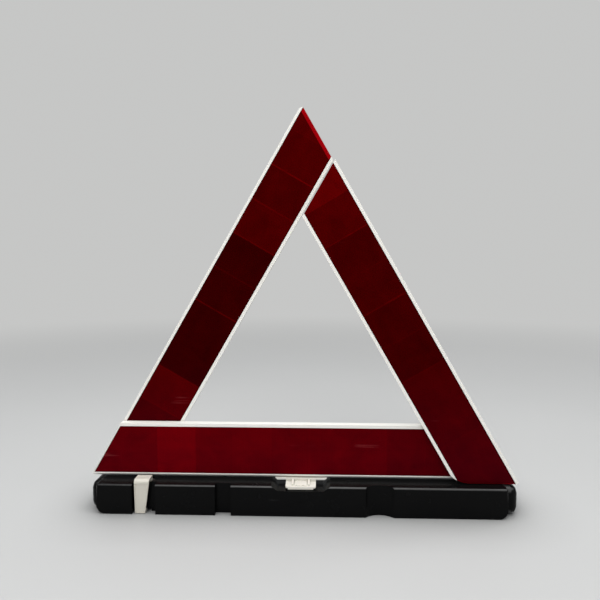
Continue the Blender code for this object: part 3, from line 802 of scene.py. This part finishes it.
def right_arm(looks):
    slope = 1 / math.tan(LEAN)
    outer_end = SIDE - HALF / math.tan(LEAN / 2) - (2 * HALF + APEX_GAP) / math.sin(LEAN)

    def end(z):
        return outer_end - (z + HALF) * slope

    def heel(z):
        return -(TAIL_RADIUS + z * math.cos(math.pi - LEAN)) / math.sin(LEAN)

    heel_turn = math.degrees(math.asin(HALF / TAIL_RADIUS))
    outline = [(end(-HALF), -HALF), (end(HALF), HALF)]
    outline += arc((0, 0), TAIL_RADIUS, 180 - heel_turn, 150, 12)
    outline += [(heel(-HALF + TIP_TRIM), -HALF + TIP_TRIM), (heel(-HALF) + TIP_TRIM, -HALF)]

    def plate(spread):
        low = -HALF + RIGHT_LIPS[0] - spread
        high = HALF - RIGHT_LIPS[1] + spread
        reach = OPEN_END if spread > 0 else 0
        radius = TAIL_RADIUS + reach
        turn = math.degrees(math.asin(high / radius))
        shape = [(end(low) + reach, low), (end(high) + reach, high)]
        shape += arc((0, 0), radius, 180 - turn, 150, 12)
        shape += [(heel(low) - reach, low)]
        return shape

    tray(
        "right_arm_tray", outline, plate(LENS_GAP), (16 * MM, 296 * MM), RIGHT_PLACE,
        looks["white"], "right_arm", ["right_arm_housing"], [((0, 0), "head")],
    )
    shape = plate(0)
    strips = [0] * len(shape)
    strips[2:-1] = [HEEL_STRIP] * (len(shape) - 3)
    lens(
        "right_arm_lens", shape, strips, RIGHT_TILES, RIGHT_PLACE,
        [looks["side_red"], looks["bright_red"]], "right_arm",
    )


# Foot and key

def foot(look):
    corner_x = FOOT_HALF_WIDTH - FOOT_CORNER
    corner_y = FOOT_REACH - FOOT_CORNER
    plate = arc((corner_x, -corner_y), FOOT_CORNER, -90, 0, 8)
    plate += arc((corner_x, corner_y), FOOT_CORNER, 0, 90, 8)
    plate += arc((-corner_x, corner_y), FOOT_CORNER, 90, 180, 8)
    plate += arc((-corner_x, -corner_y), FOOT_CORNER, 180, 270, 8)
    made = Solid("foot_bracket", prism(plate, FOOT_UNDER, FOOT_TOP, "Z"))
    bury = 0.4 * MM
    for side in (-1, 1):
        lip = sorted((side * (FOOT_REACH - SKIRT), side * FOOT_REACH))
        made.join(box((-corner_x, lip[0], SKIRT_LOW), (corner_x, lip[1], FOOT_UNDER + bury)))
        top = FRONT_WALL_TOP if side < 0 else WALL_TOP
        inner, outer = sorted((side * WALL_IN, side * WALL_OUT))
        made.join(box((-FOOT_HALF_WIDTH, inner, FOOT_TOP - bury), (FOOT_HALF_WIDTH, outer, top)))
        start = side * (WALL_OUT - bury)
        rib = [
            (start, FOOT_TOP - bury),
            (side * GUSSET_REACH, FOOT_TOP - bury),
            (side * GUSSET_REACH, FOOT_TOP + GUSSET_FOOT),
            (side * (WALL_OUT + 2 * MM), top - 0.5 * MM),
            (start, top - 0.5 * MM),
        ]
        for x in (-GUSSET_X, GUSSET_X):
            made.join(prism(rib, x - GUSSET_HALF, x + GUSSET_HALF, "X"))
        # The raised tongue between the ribs, the notches in its end, and a slot beyond each rib
        edges = sorted((side * (WALL_OUT - bury), side * (FOOT_REACH - 1.6 * MM)))
        made.join(box(
            (-TONGUE_HALF, edges[0], FOOT_TOP - bury),
            (TONGUE_HALF, edges[1], FOOT_TOP + TONGUE_RISE),
        ))
        notch = sorted((side * (FOOT_REACH - 3.4 * MM), side * (FOOT_REACH - 0.8 * MM)))
        for x, wide in TONGUE_NOTCHES:
            made.cut(box(
                (x - wide, notch[0], FOOT_TOP + 0.05 * MM),
                (x + wide, notch[1], FOOT_TOP + 2 * MM),
            ))
        slot = sorted((side * (GUSSET_REACH + 0.4 * MM), side * (FOOT_REACH - 1.4 * MM)))
        for x in (-GUSSET_X, GUSSET_X):
            made.cut(box(
                (x - SLOT_HALF, slot[0], FOOT_TOP - 0.5 * MM),
                (x + SLOT_HALF, slot[1], FOOT_TOP + MM),
            ))
    saddle = CASE_HEIGHT - SADDLE_DEPTH
    for radius, low, high in (
        (STEM_RADIUS, saddle - SADDLE_FLOOR - 0.2 * MM, FOOT_UNDER + bury),
        (HUB_RADIUS, saddle + 0.3 * MM, FOOT_UNDER + bury),
    ):
        made.join(prism(circle((0, 0), radius), low, high, "Z"))
    for x in (-PEG_X, PEG_X):
        made.cut(prism(circle((x, 0), PEG_RADIUS + GAP, 24), FOOT_UNDER - MM, FOOT_TOP + MM, "Z"))
    under = saddle - SADDLE_FLOOR
    made.cut(prism(circle((0, 0), SCREW_HOLE, 24), under - MM, FOOT_TOP - 0.5 * MM, "Z"))
    thing = made.bake(Matrix.Translation((0, TRIANGLE_Y, 0)), 0.3 * MM)
    dress(thing, [look], "foot", "white_plastic", "swivel_foot")


def key(look):
    top = PIVOT_Z - HALF - GAP
    low = FOOT_TOP + GAP
    half_low = KEY_HALF_TOP - (top - low)
    outline = [(-half_low, low), (half_low, low), (KEY_HALF_TOP, top), (-KEY_HALF_TOP, top)]
    made = Solid("base_arm_plug", prism(outline, FRONT, BACK))
    for x in (-PEG_X, PEG_X):
        made.join(prism(circle((x, 0), PEG_RADIUS, 24), low - 1.6 * MM, low + MM, "Z"))
    thing = made.bake(Matrix.Translation((0, TRIANGLE_Y, 0)), 0.3 * MM)
    dress(thing, [look], "base_arm", "white_plastic", "base_arm_key")


# Case

def case(look):
    radius = FOOT_RADIUS
    outline = arc((CASE_RIGHT - radius, radius), radius, -90, 0, 5)
    outline += [(CASE_RIGHT, CASE_HEIGHT), (CASE_LEFT, CASE_HEIGHT)]
    outline += arc((CASE_LEFT + radius, radius), radius, 180, 270, 5)

    def outer_edge(edge):
        ends = [vert.co for vert in edge.verts]
        across = abs(ends[0].y - ends[1].y) > MM
        at_top = min(co.z for co in ends) > CASE_HEIGHT - MM
        in_rim = max(co.z for co in ends) < 0.1 * MM
        return at_top or not (across or in_rim)

    block = round_edges(prism(outline, CASE_FRONT, CASE_REAR), EDGE_RADIUS, 7, outer_edge)
    made = Solid("case_body", block)
    for inside, outside in ((CASE_LEFT + 6 * MM, LEFT_LOBE), (CASE_RIGHT - 6 * MM, RIGHT_LOBE)):
        low, high = sorted((inside, outside))
        bulge = box(
            (low, -LOBE_HALF_DEPTH, 0.6 * MM), (high, LOBE_HALF_DEPTH, CASE_HEIGHT - 0.6 * MM)
        )

        def at_end(edge, x=outside):
            return any(abs(vert.co.x - x) < 1e-6 for vert in edge.verts)

        made.join(round_edges(bulge, LOBE_RADIUS, 12, at_end))
    floor = CASE_HEIGHT - SADDLE_DEPTH
    wide = SADDLE_HALF_TOP + (SADDLE_HALF_TOP - SADDLE_HALF_FLOOR) / SADDLE_DEPTH * MM
    saddle = [
        (-SADDLE_HALF_FLOOR, floor),
        (SADDLE_HALF_FLOOR, floor),
        (wide, CASE_HEIGHT + MM),
        (-wide, CASE_HEIGHT + MM),
    ]
    made.cut(prism(saddle, CASE_FRONT - MM, CASE_REAR + MM))
    made.cut(prism(circle((0, TRIANGLE_Y), STEM_RADIUS + GAP), floor - 5 * MM, floor + MM, "Z"))
    below, above = -MM, CASE_HEIGHT + MM
    front = CASE_FRONT - MM
    made.cut(box(
        (HOLLOW_X - HOLLOW_HALF_WIDTH, front, below),
        (HOLLOW_X + HOLLOW_HALF_WIDTH, CASE_FRONT + HOLLOW_DEPTH, above),
    ))
    scoop_radius = (SCOOP_HALF_WIDTH**2 + SCOOP_DEPTH**2) / (2 * SCOOP_DEPTH)
    scoop = circle((SCOOP_X, CASE_FRONT + SCOOP_DEPTH - scoop_radius), scoop_radius, 96)
    made.cut(prism(scoop, below, above, "Z"))
    made.cut(box(
        (CLIP_BAY_X - CLIP_BAY_HALF, front, below),
        (CLIP_BAY_X + CLIP_BAY_HALF, CASE_FRONT + CLIP_BAY_DEPTH, above),
    ))
    reach = CLIP_HALF_WIDTH + 0.5 * MM
    barrel = CLIP_BARREL + 0.5 * MM
    made.cut(box(
        (CLIP_X - reach, front, CLIP_PIN_Z - 0.7 * MM),
        (CLIP_X + reach, CLIP_PIN_Y + CLIP_SWING, above),
    ))
    made.cut(box(
        (CLIP_X - reach, CLIP_PIN_Y - barrel, CLIP_PIN_Z - barrel),
        (CLIP_X + reach, CLIP_PIN_Y + barrel, above),
    ))
    pin_hole = circle((CLIP_PIN_Y, CLIP_PIN_Z), CLIP_PIN_RADIUS + GAP, 24)
    pin_reach = CLIP_HALF_WIDTH + 3.1 * MM
    made.cut(prism(pin_hole, CLIP_X - pin_reach, CLIP_X + pin_reach, "X"))
    made.cut(box(
        (CLIP_X - reach, CASE_FRONT, below), (CLIP_X + reach, CLIP_PIN_Y - 3 * MM, CLIP_SLOT)
    ))
    made.cut(prism(circle(DRAIN, DRAIN_RADIUS), 20 * MM, above, "Z"))
    x, z = MARK
    wide, high = MARK_HALF
    made.cut(box((x - wide, front, z - high), (x + wide, CASE_FRONT + MARK_DEPTH, z + high)))
    for low, high in trough_spaces():
        made.cut(box(low, high))
    thing = made.bake(edge=0.45 * MM, segments=3)
    dress(thing, [look], "case", "black_plastic", "case_shell")


def trough_spaces():
    """Boxes that hollow the case from below and leave the grooves and the clip seat a wall."""
    under = -MM
    ceiling = CASE_HEIGHT - WALL
    left = CASE_LEFT + WALL
    right = CASE_RIGHT - WALL
    rear = CASE_REAR - WALL
    front = CASE_FRONT + WALL
    deep = CASE_FRONT + CLIP_BAY_DEPTH + WALL
    seat = CLIP_PIN_Y + CLIP_SWING + WALL
    saddle = SADDLE_HALF_TOP + 1.2 * MM
    low_ceiling = CASE_HEIGHT - SADDLE_DEPTH - SADDLE_FLOOR
    bay = (CLIP_BAY_X - CLIP_BAY_HALF - WALL, CLIP_BAY_X + CLIP_BAY_HALF + WALL)
    hollow = (HOLLOW_X - HOLLOW_HALF_WIDTH - WALL, HOLLOW_X + HOLLOW_HALF_WIDTH + WALL)
    scoop = (SCOOP_X - SCOOP_HALF_WIDTH - WALL, SCOOP_X + SCOOP_HALF_WIDTH + WALL)
    lap = 0.5 * MM
    spaces = [
        ((left, deep, under), (right, rear, low_ceiling)),
        ((left, seat, low_ceiling - lap), (-saddle, rear, ceiling)),
        ((bay[1], deep, low_ceiling - lap), (-saddle, seat + lap, ceiling)),
        ((left, deep, low_ceiling - lap), (bay[0], seat + lap, ceiling)),
        ((saddle, deep, low_ceiling - lap), (right, rear, ceiling)),
        ((left, front, under), (bay[0], deep + lap, ceiling)),
        ((bay[1], front, under), (hollow[0], deep + lap, ceiling)),
        ((hollow[1], front, under), (-saddle, deep + lap, ceiling)),
        ((-saddle - lap, front, under), (saddle + lap, deep + lap, low_ceiling)),
        ((saddle, front, under), (scoop[0], deep + lap, ceiling)),
        ((scoop[1], front, under), (right, deep + lap, ceiling)),
    ]
    # Shallow enough that its corners keep a wall under the rounded lobe
    depth = LOBE_HALF_DEPTH - 0.75 * LOBE_RADIUS
    for inside, outside in ((left + lap, LEFT_LOBE + WALL), (right - lap, RIGHT_LOBE - WALL)):
        low, high = sorted((inside, outside))
        spaces.append(((low, -depth, under), (high, depth, CASE_HEIGHT - LOBE_RADIUS)))
    return spaces


# Clip

def clip(look):
    """Drawn from the pin's axis."""
    top = CASE_HEIGHT + CLIP_RISE - CLIP_PIN_Z
    under = top - CLIP_THICKNESS
    web = CLIP_THICKNESS / 2
    face = CASE_FRONT + CLIP_SETBACK - CLIP_PIN_Y
    back = face + CLIP_THICKNESS
    sole = CLIP_SOLE - CLIP_PIN_Z
    hook = face + CLIP_BAY_DEPTH
    profile = [(-web, under), (-web, 0), (web, 0), (web, top - 0.6 * MM), (web - 0.6 * MM, top)]
    profile += arc((face + CLIP_BEND, top - CLIP_BEND), CLIP_BEND, 90, 180, 12)
    heel = sole + CLIP_THICKNESS
    profile += [(face, sole), (hook, sole), (hook, heel), (back, heel)]
    profile += [(back, under - 1.0 * MM), (back + 1.0 * MM, under)]
    mesh = prism(profile, -CLIP_HALF_WIDTH, CLIP_HALF_WIDTH, "X")
    step = top - CLIP_BEND - 1.2 * MM

    def taper(target):
        """Narrows a mesh below the step and shifts its foot aside."""
        for vert in target.verts:
            share = min(1.0, max(0.0, (step - vert.co.z) / (step - sole)))
            vert.co.x *= 1 + share * (CLIP_HALF_FOOT / CLIP_HALF_WIDTH - 1)
            vert.co.x += share * CLIP_FOOT_SHIFT
        return target

    made = Solid("stow_clip_lever", taper(mesh))
    made.join(prism(circle((0, 0), CLIP_BARREL, 32), -CLIP_HALF_WIDTH, CLIP_HALF_WIDTH, "X"))
    past = CLIP_HALF_WIDTH + MM
    made.cut(prism(circle((0, 0), CLIP_PIN_RADIUS + 0.15 * MM, 24), -past, past, "X"))
    panel = box(
        (-CLIP_HALF_WIDTH + CLIP_BORDER, face - MM, sole + 0.9 * MM),
        (CLIP_HALF_WIDTH - CLIP_BORDER, face + CLIP_PANEL, step),
    )
    made.cut(taper(panel))
    thing = made.bake(Matrix.Translation((CLIP_X, CLIP_PIN_Y, CLIP_PIN_Z)), 0.3 * MM, 3)
    dress(thing, [look], "clip", "white_plastic", "stow_clip")


# Carried-over CAD nodes

def carry_over(nodes, looks):
    finishes = {
        "clip_pin": "steel",
        "foot_screw": "steel",
        "foot_washer": "steel",
        "left_hinge_rivet": "steel",
        "right_hinge_rivet": "steel",
        "left_hinge_washer": "washer",
        "right_hinge_washer": "washer",
        "left_friction_washer": "nylon",
        "right_friction_washer": "nylon",
        "base_arm_backing": "silver",
        "left_arm_backing": "silver",
        "right_arm_backing": "silver",
    }
    for name, finish in finishes.items():
        node = nodes[name]
        node.data.materials.clear()
        node.data.materials.append(looks[finish])
        # The frame's meshes are loose triangles, whose edges can't be softened unwelded
        node.modifiers.new("weld", "WELD").merge_threshold = 0.002 * MM
        if finish in ("steel", "washer"):
            step = node.modifiers.new("edge", "BEVEL")
            step.width = 0.12 * MM
            step.segments = 2
            step.limit_method = "ANGLE"
            step.angle_limit = math.radians(40)


# Stage

def stage():
    """A wide pale floor that fades into the backdrop, three soft lights and the camera."""
    floor = bmesh.new()
    rings = [0, 0.35, 0.8, 1.6, 4, 12, 60]
    previous = [floor.verts.new((0, 0, 0))]
    for radius in rings[1:]:
        ring = [floor.verts.new((x, y, 0)) for x, y in circle((0, 0), radius, 64)]
        for i in range(64):
            j = (i + 1) % 64
            corners = [previous[i % len(previous)], ring[i], ring[j], previous[j % len(previous)]]
            floor.faces.new([v for k, v in enumerate(corners) if v not in corners[:k]])
        previous = ring
    ground = link("studio_floor", floor)
    g = Graph("studio_paper")
    cloud = g.noise(2.5, 2.0)
    near = g.mix(cloud, (0.5, 0.502, 0.497), (0.53, 0.532, 0.527))
    shadow = g.ramp(g.occlusion(70 * MM), [(0.0, 0.25), (0.55, 0.62), (1.0, 1)])
    near = g.mix(1.0, near, shadow, "MULTIPLY")
    g.bump([(g.noise(300, 2.0), 0.03, 0.1 * MM)])
    g.finish(Base_Color=near, Roughness=0.5, Specular_IOR_Level=0.2)
    glow = g.tree.nodes.new("ShaderNodeEmission")
    glow.inputs["Color"].default_value = (*BACKDROP, 1)
    fade = g.span(g.vector("LENGTH", g.place()), *FLOOR_FADE, smooth=True)
    blend = g.tree.nodes.new("ShaderNodeMixShader")
    g.put(blend.inputs[0], fade)
    g.put(blend.inputs[1], g.shader.outputs[0])
    g.put(blend.inputs[2], glow.outputs[0])
    g.put(g.tree.nodes["Material Output"].inputs["Surface"], blend.outputs[0])
    ground.data.materials.append(g.material)

    def light(name, at, towards, size, power):
        data = bpy.data.lights.new(name, "AREA")
        data.shape = "RECTANGLE"
        data.size, data.size_y = size
        data.energy = power
        made = bpy.data.objects.new(name, data)
        bpy.context.scene.collection.objects.link(made)
        made.location = at
        made.rotation_euler = (Vector(towards) - Vector(at)).to_track_quat("-Z", "Y").to_euler()

    light("overhead", (0.1, -0.25, 1.9), (0, 0, 0.1), (2.4, 1.6), 34)
    light("front_high", (-0.5, -1.9, 1.9), (0, 0, 0.2), (1.6, 1.0), 26)
    light("side", (2.0, -1.0, 0.9), (0, 0, 0.15), (0.8, 1.4), 2.5)

    # The camera sees the backdrop's colour, and everything else is lit by a dimmer sky
    world = bpy.data.worlds.new("studio")
    bpy.context.scene.world = world
    world.use_nodes = True
    tree = world.node_tree
    back = tree.nodes["Background"]
    path = tree.nodes.new("ShaderNodeLightPath")
    lit = tree.nodes.new("ShaderNodeBackground")
    lit.inputs["Color"].default_value = (0.96, 0.98, 1.0, 1)
    lit.inputs["Strength"].default_value = 0.42
    back.inputs["Color"].default_value = (*BACKDROP, 1)
    back.inputs["Strength"].default_value = 1.0
    pick = tree.nodes.new("ShaderNodeMixShader")
    tree.links.new(path.outputs["Is Camera Ray"], pick.inputs["Fac"])
    tree.links.new(lit.outputs[0], pick.inputs[1])
    tree.links.new(back.outputs[0], pick.inputs[2])
    tree.links.new(pick.outputs[0], tree.nodes["World Output"].inputs["Surface"])

    eye = bpy.data.cameras.new("camera")
    eye.sensor_width = SENSOR
    eye.lens = FOCAL * SENSOR
    camera = bpy.data.objects.new("camera", eye)
    bpy.context.scene.collection.objects.link(camera)
    camera.location = EYE
    camera.rotation_euler = (math.radians(90 - EYE_DOWN), 0, math.radians(EYE_ASIDE))
    bpy.context.scene.camera = camera
    bpy.context.scene.view_settings.view_transform = "Standard"
    bpy.context.scene.view_settings.look = "None"


def main():
    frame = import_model()
    looks = {
        "white": white_plastic("white_plastic", (0.87, 0.85, 0.8)),
        # cream_plastic's long, deep darkening is painted shadow from the base arm above the foot.
        "cream": white_plastic("cream_plastic", (0.88, 0.85, 0.77), 9 * MM, (0.2, 0.18, 0.13), 0.9),
        # A darker copy of the white plastic for the clip: painted shade on its upright front.
        "shaded_white": white_plastic("shaded_white_plastic", (0.63, 0.6, 0.525)),
        "black": black_plastic("black_plastic"),
        "side_red": lens_red("side_lens_red", (0.05, 0.0001, 0.0002)),
        "base_red": lens_red("base_lens_red", (0.083, 0.0001, 0.0004)),
        # A lighter red for the lenses' bevelled strips: painted highlight.
        "bright_red": lens_red("lens_edge_red", (0.27, 0.0008, 0.003), strip=True),
        "steel": metal("zinc_steel", (0.6, 0.6, 0.61), 0.2),
        "washer": metal("washer_steel", (0.5, 0.5, 0.52), 1.0),
        "silver": sheet("silver_backing", (0.5, 0.5, 0.5)),
        "nylon": nylon("natural_nylon"),
    }
    base_arm(looks)
    left_arm(looks)
    right_arm(looks)
    foot(looks["cream"])
    key(looks["white"])
    case(looks["black"])
    clip(looks["shaded_white"])
    carry_over(frame["nodes"], looks)
    stage()


main()
